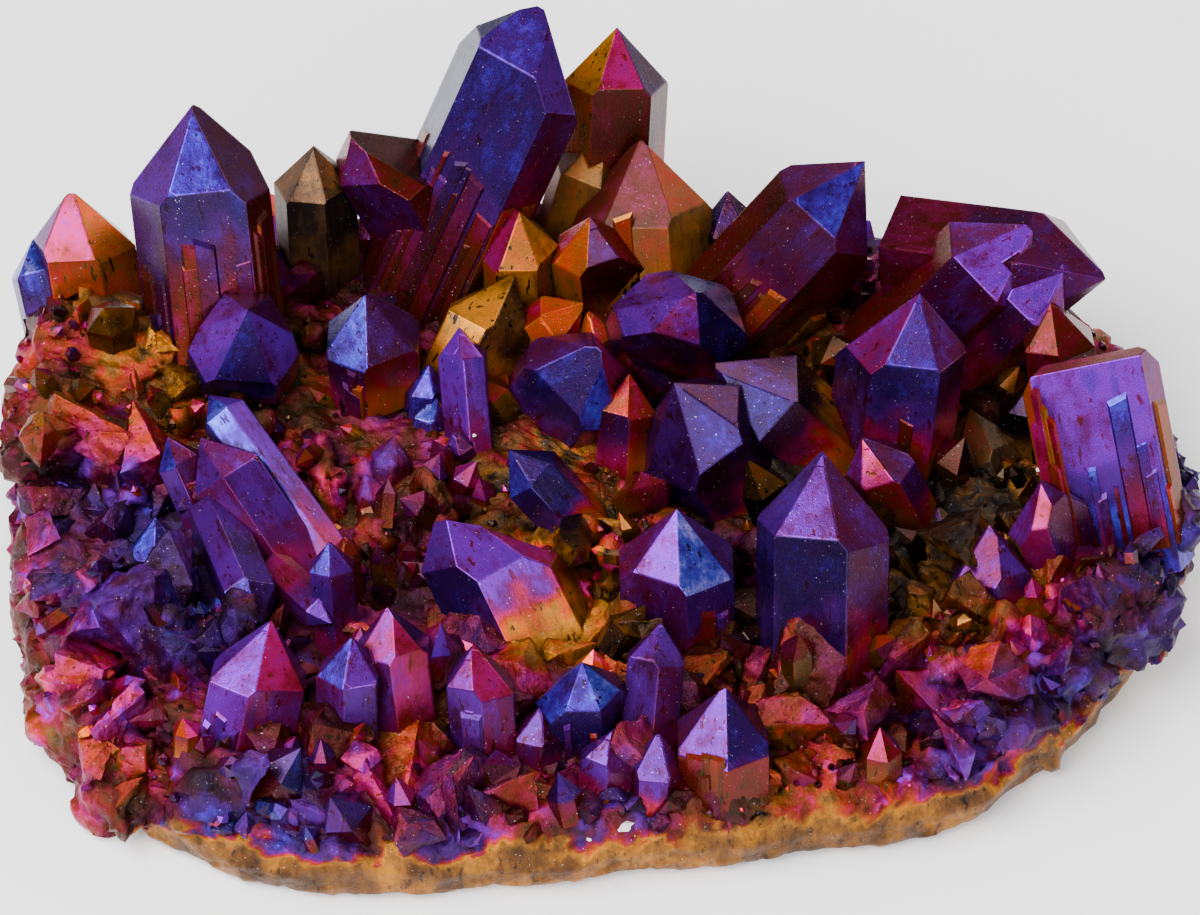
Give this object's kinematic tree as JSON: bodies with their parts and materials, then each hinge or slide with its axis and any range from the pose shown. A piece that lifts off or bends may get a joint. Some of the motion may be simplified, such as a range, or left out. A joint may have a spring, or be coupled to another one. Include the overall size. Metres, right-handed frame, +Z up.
{
  "type": "aura quartz cluster",
  "caption": "Broken slab of grainy matrix with hexagonal quartz points of many sizes standing up from it, all with a thin iridescent metal coating, made to rest flat on a shelf.",
  "frame": {"origin": "middle of the object's bounding box at its underside, on the surface it rests on", "axes": "+X to the right along its long side, +Y away from the low front edge towards the tall back points, +Z up"},
  "size_m": [0.121, 0.0904, 0.0409],
  "materials": {
    "matrix": "rough and grainy, ochre to orange-red",
    "coated_quartz": "polished by growth, with a thin metal coating that runs from gold through magenta to blue"
  },
  "bodies": {
    "root": {"back_tower_group": "coated_quartz", "big_front_block": "coated_quartz", "centre_front_point": "coated_quartz", "corner_point_group": "coated_quartz", "dark_blue_lying_group": "coated_quartz", "front_left_column": "coated_quartz", "front_left_point_group": "coated_quartz", "front_round_point_group": "coated_quartz", "left_blue_point_group": "coated_quartz", "left_tower_group": "coated_quartz", "matrix": "matrix", "pink_gold_point_group": "coated_quartz", "rear_small_right_point": "coated_quartz", "right_column_group": "coated_quartz", "right_front_spire": "coated_quartz", "right_ridge_back_group": "coated_quartz", "violet_blade_group": "coated_quartz"}
  },
  "joints": []
}
